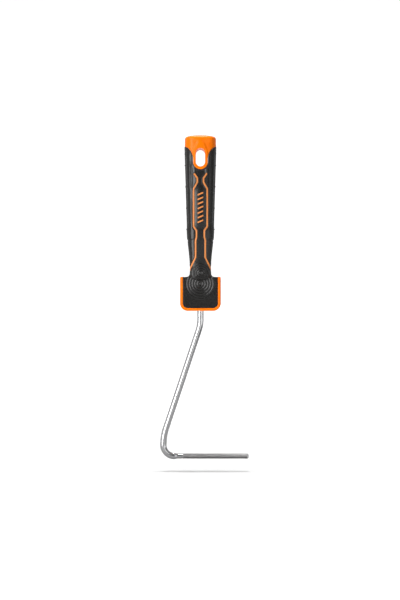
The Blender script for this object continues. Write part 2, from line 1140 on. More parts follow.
@dataclass
class SoftSkin:
    """The black skin of the handle, with channels for the stripes."""

    form: HandleForm
    seam: CapSeam
    stripe: StripeLine
    dresser: Dresser
    row_step: float = 0.5
    neck_row_step: float = 0.3
    face_columns: int = 44
    side_columns: int = 24
    row_gap: float = 0.13
    edge_r: float = 0.35
    edge_steps: tuple[float, ...] = (0.0, 0.06, 0.16, 0.35)
    channel_depth: float = 0.75
    channel_open: float = 0.12
    wall_slope: float = 0.03
    wall_share: float = 0.25
    run_off_over: float = 8.0
    fillet_r: float = 2.8
    fillet_below: float = 0.5
    fillet_turn: Point = (58.0, 84.0)
    rest_top_h: float = 32.2
    nub_top_h: float = 137.3
    nub_pitch: float = 20.1
    nub_count: int = 4
    nub_half: float = 0.68
    nub_proud: float = 0.65
    nub_reach: float = 5.5
    nub_fade: float = 1.4
    nub_margin: float = 0.85
    nub_row_count: int = 11
    faint_nub_h: float = 148.3
    faint_nub_half: float = 0.7
    faint_nub_proud: float = 0.25
    notch_h: float = 66.4
    notch_half: float = 0.9
    notch_row_count: int = 9
    notch_depth: float = 0.3
    notch_reach: Point = (4.5, 1.5)
    panel: Band = Band(76.0, 84.0, 110.0, 119.0)
    panel_rise: float = 0.5
    panel_edge: float = 0.4
    valley: Band = Band(112.0, 119.0, 131.0, 136.0)
    valley_depth: float = 0.75
    valley_edge: float = 1.3
    facet: Band = Band(113.5, 116.5, 133.0, 139.0)
    facet_rise: float = 0.35
    facet_slope: float = 0.17
    facet_from: float = 4.0
    facet_width: float = 4.6
    facet_end: Point = (10.6, 8.6)
    facet_edge: Point = (-0.4, 0.2)
    low_facet: Band = Band(66.9, 67.6, 77.0, 81.0)
    low_facet_rise: float = 0.22
    low_facet_edge: Point = (0.2, 0.9)
    line_band: Band = Band(79.0, 86.0, 138.0, 152.0)
    lines: tuple[SideLine, ...] = (
        SideLine(0.38, 2.4, 1.0),
        SideLine(-0.30, 5.6, 1.1),
        SideLine(-0.22, 1.0, 0.8),
    )
    rings_h: float = 35.8
    rings_r: float = 9.0
    rings_pitch: float = 2.0
    rings_rise: float = 0.3
    rings_fade: float = 1.0
    rings_rows_over: float = 12.0
    dome_rise: float = 0.6
    dome_start: Point = (30.5, 33.0)

    def seam_gap(self, h: float) -> float:
        """How far the seam lies out past the handle's side."""
        return float(self.seam.half_at(h) - self.form.half_width(h))

    def stripe_gap(self, edge: int, h: float) -> float:
        """How far one edge of the stripe, 0 inner or 1 outer, lies in from the side."""
        return float(self.form.half_width(h) - self.stripe.edges_at(np.array([h]))[edge][0])

    def top_h(self) -> float:
        """Height where the seam reaches the handle's side."""
        low = self.seam.sweep_h
        return crossing(self.seam_gap, low, low + self.seam.sweep_r)

    def run_off(self, way: Way) -> float:
        """Height where one edge of the stripe reaches the handle's side.

        Args:
            way: LEFT for the inner edge, RIGHT for the outer one.

        Returns:
            The height.
        """
        gap = partial(self.stripe_gap, 0 if way is Way.LEFT else 1)
        return crossing(gap, self.form.neck_end_h, self.form.waist_h + self.run_off_over)

    def nub_heights(self) -> list[float]:
        """Heights of the ribs on the handle's sides."""
        return [self.nub_top_h - self.nub_pitch * i for i in range(self.nub_count)]

    def rows(self) -> Array:
        """Heights of the skin's rows, closer together where its shape needs it.

        Returns:
            The heights from low to high.
        """
        form, seam = self.form, self.seam
        top = self.top_h()
        turned = 1.0 - np.cos(quarter_steps(15.0))
        marks = list(form.neck_end_h + form.neck_edge_r * turned)
        marks += self.stripe.corner_heights()
        marks += [self.run_off(Way.LEFT), self.run_off(Way.RIGHT), self.rest_top_h]
        marks += list(seam.hub_h - seam.hub_r * np.cos(quarter_steps(6.0)))
        marks += [top - d for d in SHOULDER_STEPS]
        near = np.linspace(-self.nub_margin, self.nub_margin, self.nub_row_count)
        for h in self.nub_heights():
            marks += list(h + near)
        near = np.linspace(-self.notch_half, self.notch_half, self.notch_row_count)
        marks += list(self.notch_h + near)
        fine_top = self.rings_h + self.rings_rows_over
        fill = list(np.arange(form.neck_end_h, fine_top, self.neck_row_step))
        fill += list(np.arange(fine_top, top, self.row_step))
        return merged_rows(marks, fill, self.row_gap)

    def inner_relief(self, x: Array, h: Array, inside: Array) -> Array:
        """The raised panel between the stripes and the valley above it.

        Args:
            x: distances from the handle's middle.
            h: heights.
            inside: distances in from the stripe's inner edge.

        Returns:
            The heights of the relief.
        """
        share = np.clip(x / (x + inside), 0.0, 1.0)
        panel = self.panel.share(h) * smooth_step(0.0, self.panel_edge, inside)
        valley = self.valley.share(h) * smooth_step(0.0, self.valley_edge, inside)
        return self.panel_rise * panel * (1.0 - share**2) - self.valley_depth * valley

    def outer_relief(self, x: Array, h: Array, outside: Array) -> Array:
        """The facets, lines and notch between the stripes and the sides.

        Args:
            x: distances from the handle's middle.
            h: heights.
            outside: distances out from the stripe's outer edge.

        Returns:
            The heights of the relief.
        """
        from_side = self.form.half_width(h) - x
        slope = self.facet_slope * np.clip(x - self.facet_from, 0.0, self.facet_width)
        facet = self.facet.share(h) * smooth_step(*self.facet_edge, outside)
        relief = (self.facet_rise - slope) * facet * smooth_step(*self.facet_end, x)
        band = self.line_band.share(h)
        for line in self.lines:
            relief += line.rise * band * hump(line.from_side, line.half, from_side)
        low = self.low_facet.share(h) * smooth_step(*self.low_facet_edge, outside)
        notch = hump(self.notch_h, self.notch_half, h) * smooth_step(*self.notch_reach, from_side)
        return relief + self.low_facet_rise * low - self.notch_depth * notch

    def rib_relief(self, h: Array, phi: Array) -> Array:
        """The ribs on the handle's sides.

        Args:
            h: heights.
            phi: angles round the handle.

        Returns:
            The heights of the relief.
        """
        y = self.form.radius(phi, h, 0.0) * np.cos(phi)
        ends = smooth_step(self.nub_reach, self.nub_reach - self.nub_fade, y)
        relief = self.faint_nub_proud * hump(self.faint_nub_h, self.faint_nub_half, h)
        for nub in self.nub_heights():
            relief = relief + self.nub_proud * hump(nub, self.nub_half, h)
        return relief * ends

    def dome_relief(self, x: Array, h: Array) -> Array:
        """The ringed dome on the neck.

        Args:
            x: distances from the handle's middle.
            h: heights.

        Returns:
            The heights of the relief.
        """
        away = np.hypot(x, h - self.rings_h)
        dome = np.clip(1.0 - (away / self.rings_r) ** 2, 0.0, 1.0)
        rings = smooth_step(self.rings_r, self.rings_r - self.rings_fade, away)
        rings = rings * ring_wave(away, self.rings_pitch)
        return self.dome_rise * dome * smooth_step(*self.dome_start, h) + self.rings_rise * rings

    def relief(self, x: Array, h: Array, phi: Array) -> Array:
        """How far the moulded shapes stand out of the plain form.

        Args:
            x: distances from the handle's middle.
            h: heights.
            phi: angles round the handle.

        Returns:
            The heights of the relief, below 0 where it is sunk.
        """
        inner, outer = (np.reshape(e, np.shape(h)) for e in self.stripe.edges_at(np.ravel(h)))
        relief = self.inner_relief(x, h, inner - x) + self.outer_relief(x, h, x - outer)
        return relief + self.rib_relief(h, phi) + self.dome_relief(x, h)

    def fillet(self, h: Array, phi: Array) -> Array:
        """How far the neck flares out to the thumb rest at its sides.

        Args:
            h: heights.
            phi: angles round the handle.

        Returns:
            The flare.
        """
        above = np.clip(self.rest_top_h + self.fillet_r - h, 0.0, self.fillet_r)
        flare = self.fillet_r - np.sqrt(self.fillet_r**2 - above**2)
        low = smooth_step(self.form.neck_end_h, self.rest_top_h - self.fillet_below, h)
        sides = smooth_step(*np.radians(self.fillet_turn), phi)
        return flare * low * sides

    def quarter(self, rows: Array) -> Array:
        """The skin's front right quarter.

        Args:
            rows: heights of the rows.

        Returns:
            The grid of points.
        """
        form = self.form
        turn = np.full(len(rows), QUARTER_TURN)
        half = form.half_width(rows)
        seam = form.angle_at(self.seam.half_at(rows), rows)
        inner_x, outer_x = self.stripe.edges_at(rows)
        inner, outer = form.angle_at(inner_x, rows), form.angle_at(outer_x, rows)
        inner = np.where(inner_x >= half - NEARLY, turn, inner)
        outer = np.where(outer_x >= half - NEARLY, turn, outer)
        above = rows > self.stripe.top_h - NEARLY
        share = inner[np.argmax(above)] / QUARTER_TURN
        meeting = seam + (turn - seam) * share
        inner = np.where(above, meeting, inner)
        outer = np.where(above, meeting, outer)
        per_mm = 1.0 / half
        face = spread(seam, inner, self.face_columns, self.edge_steps, per_mm)
        side = spread(outer, turn, self.side_columns, self.edge_steps, per_mm)
        gap = np.minimum(self.wall_slope * per_mm, self.wall_share * (outer - inner))
        floor = np.stack([inner + gap, outer - gap], axis=1)
        phi = np.hstack([face, floor, side])
        h = rows[:, None]
        x = form.radius(phi, h, 0.0) * np.sin(phi)
        near = np.minimum(self.stripe.clearance(x, h), self.seam.clearance(x, h))
        inset = rolled_edge(near, self.edge_r) - self.relief(x, h, phi)
        inset -= self.fillet(h, phi)
        below = np.clip(form.neck_end_h + form.neck_edge_r - h, 0.0, form.neck_edge_r)
        inset += form.neck_edge_r - np.sqrt(form.neck_edge_r**2 - below**2)
        wide = smooth_step(0.0, self.channel_open, (outer - inner) * half)
        last_face = inset[:, face.shape[1] - 1]
        sunk = last_face + (self.edge_r + self.channel_depth - last_face) * wide
        channel = slice(face.shape[1], face.shape[1] + 2)
        inset[:, channel] = sunk[:, None]
        shut = outer >= QUARTER_TURN - NEARLY
        inset[shut, face.shape[1] + 2 :] = sunk[shut, None]
        return form.points(phi, h, inset)

    def build(self) -> bpy.types.Object:
        """Builds and dresses the skin.

        Returns:
            The skin.
        """
        rows = self.rows()
        grid = self.quarter(rows)
        foot = grid[:1] * np.array([0.0, 0.0, 1.0])
        grid = np.concatenate([foot, grid])
        heights = np.concatenate([rows[:1], rows])
        sheet = Sheet()
        for way, face in QUARTERS:
            sheet.patch(mirrored(grid, way, face))
        trough = heights >= self.seam.low_h - NEARLY
        edge = grid[trough, 0]
        for way in Way:
            walls = [mirrored(edge, way, face) for face in Face]
            sheet.patch(np.stack(walls, axis=1))
        piece = sheet.build("soft_skin", sharp=50.0)
        return self.dresser.dress(piece, SOFT_BLACK, Slot.SOFT, Node.GRIP)


# The hard plastic that shows


@dataclass
class StripePair:
    """The two orange stripes, each of one bead round the front, the side and the back."""

    skin: SoftSkin
    bead_columns: int = 9
    edge_inset: float = 0.42
    crown: float = 0.34
    under_inset: float = 1.05
    end_step: float = 0.15
    end_over: float = 3.0
    row_step: float = 0.45
    row_gap: float = 0.07

    def rows(self) -> Array:
        """Heights of the beads' rows.

        Returns:
            The heights from low to high.
        """
        stripe = self.skin.stripe
        low, side = self.skin.run_off(Way.LEFT), self.skin.run_off(Way.RIGHT)
        marks = [low, side, stripe.top_h] + stripe.corner_heights()
        fine_top = side + self.end_over
        fill = list(np.arange(low, fine_top, self.end_step))
        fill += list(np.arange(fine_top, stripe.top_h, self.row_step))
        return merged_rows(marks, fill, self.row_gap)

    def build(self) -> list[bpy.types.Object]:
        """Builds and dresses both stripes.

        Returns:
            The stripes.
        """
        form, stripe = self.skin.form, self.skin.stripe
        rows = self.rows()
        low, high = (form.angle_at(x, rows) for x in stripe.edges_at(rows))
        low[0] = QUARTER_TURN
        high[rows <= self.skin.run_off(Way.RIGHT) + NEARLY] = QUARTER_TURN
        high[-1] = low[-1]
        share = np.linspace(0.0, 1.0, self.bead_columns)
        phi = low[:, None] + (high - low)[:, None] * share
        h = rows[:, None]
        x = form.radius(phi, h, 0.0) * np.sin(phi)
        from_middle = np.clip(1.0 + stripe.clearance(x, h) / (stripe.width / 2), 0.0, 1.0)
        rise = self.crown * (1.0 - from_middle**3)
        top = form.points(phi, h, self.edge_inset - rise)
        under = form.points(phi, h, np.full(phi.shape, self.under_inset))
        shut = high >= QUARTER_TURN - NEARLY
        joined = shut[:-1] & shut[1:]
        inner = np.stack([top[:, 0], under[:, 0]], axis=1)
        outer = np.stack([top[:, -1], under[:, -1]], axis=1)
        pieces = []
        for way in Way:
            sheet = Sheet()
            for face in Face:
                for grid in (top, under, inner):
                    sheet.patch(mirrored(grid, way, face))
                sheet.patch(mirrored(outer, way, face), keep=~joined[:, None])
            piece = sheet.build(f"grip_stripe_{way.name.lower()}", sharp=55.0)
            pieces.append(
                self.skin.dresser.dress(piece, STRIPE_ORANGE, Slot.HARD, Node.CORE)
            )
        return pieces


@dataclass
class MarkBars:
    """Plain slanted bars on the centre panel of each face."""

    skin: SoftSkin
    count: int = 7
    pitch: float = 4.3
    width: float = 5.4
    thick: float = 1.7
    slant: float = 24.0
    middle_h: float = 97.1
    proud: float = 0.14
    edge_r: float = 0.3
    sunk: float = 0.8
    across: int = 20
    along: int = 10

    def bar(self, middle: float) -> tuple[Array, Array]:
        """One bar's top and underside.

        Args:
            middle: height of its middle.

        Returns:
            Two grids of points for the front right way up.
        """
        u, v = np.meshgrid(
            np.linspace(-1, 1, self.across), np.linspace(-1, 1, self.along)
        )
        x = u * self.width / 2
        h = middle + x * math.tan(math.radians(self.slant)) + v * self.thick / 2
        to_edge = np.minimum(
            (1 - np.abs(u)) * self.width / 2, (1 - np.abs(v)) * self.thick / 2
        )
        form = self.skin.form
        phi = form.angle_at(np.abs(x).ravel(), h.ravel()).reshape(x.shape)
        relief = self.skin.relief(np.abs(x), h, phi)
        lift = relief + self.proud - rolled_edge(to_edge, self.edge_r)
        top = form.points(phi, h, -lift)
        under = form.points(phi, h, self.sunk - relief)
        for grid in (top, under):
            grid[..., 0] *= np.sign(x) + (x == 0)
        return top, under

    def build(self) -> list[bpy.types.Object]:
        """Builds and dresses the bars of each face as one piece.

        Returns:
            The pieces.
        """
        pieces = []
        first = self.middle_h - self.pitch * (self.count - 1) / 2
        for face in Face:
            sheet = Sheet()
            for i in range(self.count):
                top, under = self.bar(first + i * self.pitch)
                for grid in (top, under, *edge_walls(top, under)):
                    sheet.patch(mirrored(grid, Way.RIGHT, face))
            piece = sheet.build(f"mark_bars_{face.name.lower()}", sharp=50.0)
            pieces.append(
                self.skin.dresser.dress(piece, STRIPE_ORANGE, Slot.HARD, Node.CORE)
            )
        return pieces


@dataclass
class ButtCap:
    """The orange cap: its crowned top, the hang slot and the pointed boss round the slot."""

    form: HandleForm
    seam: CapSeam
    slot: HangSlot
    skin: SoftSkin
    dresser: Dresser
    inset: float = 0.35
    row_step: float = 0.4
    columns: int = 30
    edge_steps: tuple[float, ...] = (0.0, 0.08, 0.2, 0.4, 0.65, 0.95)
    lip_r: float = 0.5
    seam_r: float = 0.15
    edge_r: float = 2.5
    edge_turn: float = 77.0
    crown_h: float = 1.4
    crown_rings: int = 14
    boss_depth: float = 0.7
    boss_r: float = 26.1
    boss_offset: float = 19.9
    boss_h: float = 143.8
    boss_slope: float = 2.4
    boss_low_over: float = 1.0
    boss_fade: float = 5.0
    row_gap: float = 0.1

    def rows(self) -> Array:
        """Heights of the cap's rows up to the start of its rounded edge.

        Returns:
            The heights from low to high.
        """
        turn = quarter_steps(6.0)
        top = self.skin.top_h()
        marks = list(self.seam.hub_h - self.seam.hub_r * np.cos(turn))
        marks += list(self.slot.low_h - self.slot.half * np.cos(turn))
        marks += list(self.slot.high_h + self.slot.half * np.sin(turn))
        marks += [top - d for d in SHOULDER_STEPS]
        marks += [self.form.butt_edge_h]
        fill = np.arange(self.seam.low_h, self.form.butt_edge_h, self.row_step)
        return merged_rows(marks, list(fill), self.row_gap)

    def fall_away(self, x: Array, h: Array) -> Array:
        """How far the cap falls away outside the pointed boss round the slot.

        Args:
            x: distances from the handle's middle.
            h: heights.

        Returns:
            The depths.
        """
        above = np.maximum(h - self.boss_h, 0.0)
        outside = np.hypot(x + self.boss_offset, above) - self.boss_r
        top = self.form.butt_edge_h
        fade = smooth_step(self.seam.low_h + self.boss_low_over, self.boss_h, h)
        fade = fade * smooth_step(top, top - self.boss_fade, h)
        fade = fade * smooth_step(0.0, self.boss_fade, self.form.half_width(h) - x)
        return self.boss_depth * smooth_step(0.0, self.boss_slope, outside) * fade

    def build(self) -> bpy.types.Object:
        """Builds and dresses the cap.

        Returns:
            The cap.
        """
        form, rows = self.form, self.rows()
        slot = form.angle_at(self.slot.half_at(rows), rows)
        seam = form.angle_at(self.seam.half_at(rows), rows)
        top = self.skin.top_h()
        seam = np.where(rows >= top - NEARLY, QUARTER_TURN, seam)
        per_mm = 1.0 / form.half_width(rows)
        phi = spread(slot, seam, self.columns, self.edge_steps, per_mm)
        h = rows[:, None]
        x = form.radius(phi, h, 0.0) * np.sin(phi)
        inset = self.inset + self.fall_away(x, h)
        inset += rolled_edge(self.slot.clearance(x, h), self.lip_r)
        inset += rolled_edge(-self.seam.clearance(x, h), self.seam_r)
        side = form.points(phi, h, inset)
        turn = np.radians(np.linspace(0.0, self.edge_turn, 9)[1:])[:, None]
        edge_h = form.butt_edge_h + self.edge_r * np.sin(turn)
        last_phi = np.broadcast_to(phi[-1], (len(turn), phi.shape[1]))
        edge = form.points(
            last_phi, edge_h, self.inset + self.edge_r * (1.0 - np.cos(turn))
        )
        share = np.linspace(1.0, 0.0, self.crown_rings + 1)[1:, None, None]
        rim = edge[-1][None]
        top_z = form.foot_z + form.butt_edge_h + self.edge_r + self.crown_h
        rise = (top_z - rim[..., 2:]) * (1.0 - share**2)
        crown = np.concatenate([rim[..., :2] * share, rim[..., 2:] + rise], axis=-1)
        grid = np.concatenate([side, edge, crown])
        sheet = Sheet()
        for way, face in QUARTERS:
            sheet.patch(mirrored(grid, way, face))
        past = np.maximum(self.slot.low_h - rows, rows - self.slot.high_h)
        slotted = past <= self.slot.half + ROW_SLACK
        seamed = rows <= top + NEARLY
        for way in Way:
            for wall, count in ((side[slotted, 0], 13), (side[seamed, -1], 2)):
                front, back = (mirrored(wall, way, face) for face in Face)
                share = np.linspace(0.0, 1.0, count)[None, :, None]
                sheet.patch(front[:, None] + (back - front)[:, None] * share)
        piece = sheet.build("butt_cap", sharp=50.0)
        return self.dresser.dress(piece, ORANGE, Slot.HARD, Node.CORE)


@dataclass
class ThumbRest:
    """The square thumb rest: an orange rim and web with a soft pad on each face."""

    foot_z: float
    half: float
    dresser: Dresser
    height: float = 32.2
    depth: float = 13.4
    corner_r: float = 7.3
    rim: float = 2.7
    end_r: float = 1.3
    outer_roll: float = 1.5
    inner_roll: float = 0.7
    end_dome: float = 0.25
    end_dome_share: float = 0.9
    rim_lap: float = 0.5
    web_roll: float = 0.4
    web_below: float = 0.12
    pad_t: float = 2.2
    pad_sunk: float = 0.3
    pad_below: float = 0.15
    pad_gap: float = 0.01
    pad_edge_r: float = 0.4
    pad_margin: float = 0.5
    pad_foot_rows: tuple[float, ...] = (0.05, 0.12)
    pad_edge_rows: tuple[float, ...] = (0.0, 0.06, 0.15, 0.3, 0.5)
    pad_edge_columns: tuple[float, ...] = (0.0, 0.05, 0.13, 0.25, 0.42)
    pad_row_gap: float = 0.06
    pad_rows: int = 100
    pad_columns: int = 104
    rings_h: float = 25.7
    rings_r: float = 14.4
    rings_pitch: float = 2.45
    rings_rise: float = 0.3
    rings_crest: float = 1.5
    rings_fade: Point = (1.0, -2.0)
    rings_edge: Point = (0.2, 1.4)

    @property
    def floor_y(self) -> float:
        """Distance of the pads' pockets from the middle plane."""
        return self.depth / 2 - self.pad_sunk - self.pad_t

    def rim_profile(self) -> Array:
        """The rim's section, as distance in from the outside and depth.

        Returns:
            The section's points.
        """
        half = self.depth / 2
        turn = np.radians(np.linspace(0.0, 90.0, 8))
        near, far = 1.0 - np.cos(turn), 1.0 - np.sin(turn)
        outer = np.stack([self.outer_roll * near, half - self.outer_roll * far], axis=1)
        inner = np.stack([self.rim - self.inner_roll * far, half - self.inner_roll * near], axis=1)
        face = np.concatenate([outer, inner, [(self.rim, self.floor_y - self.rim_lap)]])
        return np.concatenate([face, face[::-1] * np.array([1.0, -1.0])])

    def rim_line(self) -> list[tuple[float, float, float, float, float]]:
        """The rim's run, from its left end round the foot to its right end.

        Returns:
            For each station its X, its height, the way in from there as two parts, and how far
            the rim is narrowed.
        """
        straight = self.half - self.corner_r
        line = []
        for a in np.radians(np.linspace(90.0, 0.0, 7)):
            narrow = self.end_r * (1.0 - math.cos(a))
            tall = self.height - self.end_r * (1.0 - math.sin(a))
            line.append((-self.half + narrow, tall, 1.0, 0.0, narrow))
        for h in np.linspace(self.height - self.end_r, self.corner_r, 14)[1:-1]:
            line.append((-self.half, float(h), 1.0, 0.0, 0.0))
        for a in np.radians(np.linspace(180.0, 270.0, 25)):
            out_x, out_h = math.cos(a), math.sin(a)
            x, h = self.corner_r * out_x - straight, self.corner_r * (1.0 + out_h)
            line.append((x, h, -out_x, -out_h, 0.0))
        for x in np.linspace(-straight, 0.0, 9)[1:]:
            line.append((float(x), 0.0, 0.0, 1.0, 0.0))
        return line + [(-x, h, -nx, nh, n) for x, h, nx, nh, n in reversed(line[:-1])]

    def rim_piece(self) -> bpy.types.Object:
        """Builds the U-shaped rim.

        Returns:
            The rim.
        """
        depth, y = self.rim_profile().T
        rings = []
        for x, h, nx, nh, narrow in self.rim_line():
            inward = depth * (self.rim - narrow) / self.rim
            rings.append(np.stack([x + nx * inward, y, self.foot_z + h + nh * inward], axis=1))
        for at in (0, -1):
            ring = rings[at].copy()
            middle = ring.mean(axis=0)
            ring[:, :2] = middle[:2] + (ring[:, :2] - middle[:2]) * self.end_dome_share
            rings[at][:, 2] -= self.end_dome
            rings.insert(0 if at == 0 else len(rings), ring)
        sheet = Sheet()
        sheet.loops(np.array(rings))
        piece = sheet.build("thumb_rest_rim", sharp=50.0)
        return self.dresser.dress(piece, ORANGE, Slot.HARD, Node.CORE)

    def outline(self, inward: float, top: float) -> Array:
        """The rest's outline, drawn in at its sides and foot.

        Args:
            inward: how far it is drawn in.
            top: height of its top.

        Returns:
            The outline's points as distance from the middle and height.
        """
        half, corner = self.half - inward, self.corner_r - inward
        turn = np.radians(np.linspace(180.0, 270.0, 17))
        left = [(-half, top)] + [
            (-half + corner + corner * math.cos(a), self.corner_r + corner * math.sin(a))
            for a in turn
        ]
        return np.array(left + [(-x, h) for x, h in reversed(left)])

    def web_piece(self) -> bpy.types.Object:
        """Builds the plate between the two pads.

        Returns:
            The plate.
        """
        rings = []
        roll = self.web_roll
        for a in np.radians(np.linspace(0.0, 90.0, 5)):
            inward, deep = roll * (1 - math.sin(a)), roll * (1 - math.cos(a))
            line = self.outline(self.rim / 2 + inward, self.height - self.web_below - inward)
            y = np.full(len(line), -self.floor_y + deep)
            rings.append(np.stack([line[:, 0], y, self.foot_z + line[:, 1]], axis=1))
        rings += [ring * np.array([1.0, -1.0, 1.0]) for ring in reversed(rings)]
        sheet = Sheet()
        sheet.loops(np.array(rings))
        piece = sheet.build("thumb_rest_web", sharp=50.0)
        return self.dresser.dress(piece, ORANGE, Slot.HARD, Node.CORE)

    def pad_piece(self, face: Face) -> bpy.types.Object:
        """Builds the soft pad of one face, with its rings.

        Args:
            face: the face that it lies on.

        Returns:
            The pad.
        """
        low, corner = self.rim, self.corner_r - self.rim
        top = self.height - self.pad_below
        turn = np.radians(np.linspace(0.0, 90.0, 14))
        marks = list(self.corner_r - corner * np.cos(turn))
        marks += [low + d for d in self.pad_foot_rows] + [top - d for d in self.pad_edge_rows]
        fill = list(np.linspace(low, top, self.pad_rows))
        rows = merged_rows(marks, fill, self.pad_row_gap)
        past = np.maximum(self.corner_r - rows, 0.0)
        half = self.half - self.corner_r + np.sqrt(np.maximum(corner**2 - past**2, 0.0))
        near = np.array(self.pad_edge_columns)
        share = np.linspace(-1.0, 1.0, self.pad_columns)[None, :]
        middle = share * (half[:, None] - self.pad_margin)
        x = np.hstack([-half[:, None] + near, middle, (half[:, None] - near)[:, ::-1]])
        h = np.broadcast_to(rows[:, None], x.shape)
        beside = half[:, None] - np.abs(x)
        round_x = np.maximum(np.abs(x) - (self.half - self.corner_r), 0.0)
        corner_gap = corner - np.hypot(round_x, np.minimum(h - self.corner_r, 0.0))
        edge = np.minimum(np.where(h < self.corner_r, corner_gap, beside), h - low)
        edge = np.minimum(edge, top - h)
        away = np.hypot(x, h - self.rings_h)
        fade = smooth_step(*(self.rings_r + d for d in self.rings_fade), away)
        fade = fade * smooth_step(*self.rings_edge, edge)
        rings = ring_wave(away, self.rings_pitch) ** self.rings_crest * fade
        out = self.depth / 2 - self.pad_sunk + self.rings_rise * rings
        out = out - rolled_edge(edge, self.pad_edge_r)
        front = np.stack([x, face.value * out, self.foot_z + h], axis=-1)
        back = front.copy()
        back[..., 1] = face.value * (self.floor_y + self.pad_gap)
        sheet = Sheet()
        for grid in (front, *edge_walls(front, back)):
            sheet.patch(grid)
        sheet.patch(back[:, [0, -1]])
        piece = sheet.build(f"thumb_pad_{face.name.lower()}", sharp=50.0)
        return self.dresser.dress(piece, SOFT_BLACK, Slot.SOFT, Node.GRIP)

    def build(self) -> list[bpy.types.Object]:
        """Builds every piece of the thumb rest.

        Returns:
            The pieces.
        """
        pads = [self.pad_piece(face) for face in Face]
        return [self.rim_piece(), self.web_piece()] + pads


# The wire


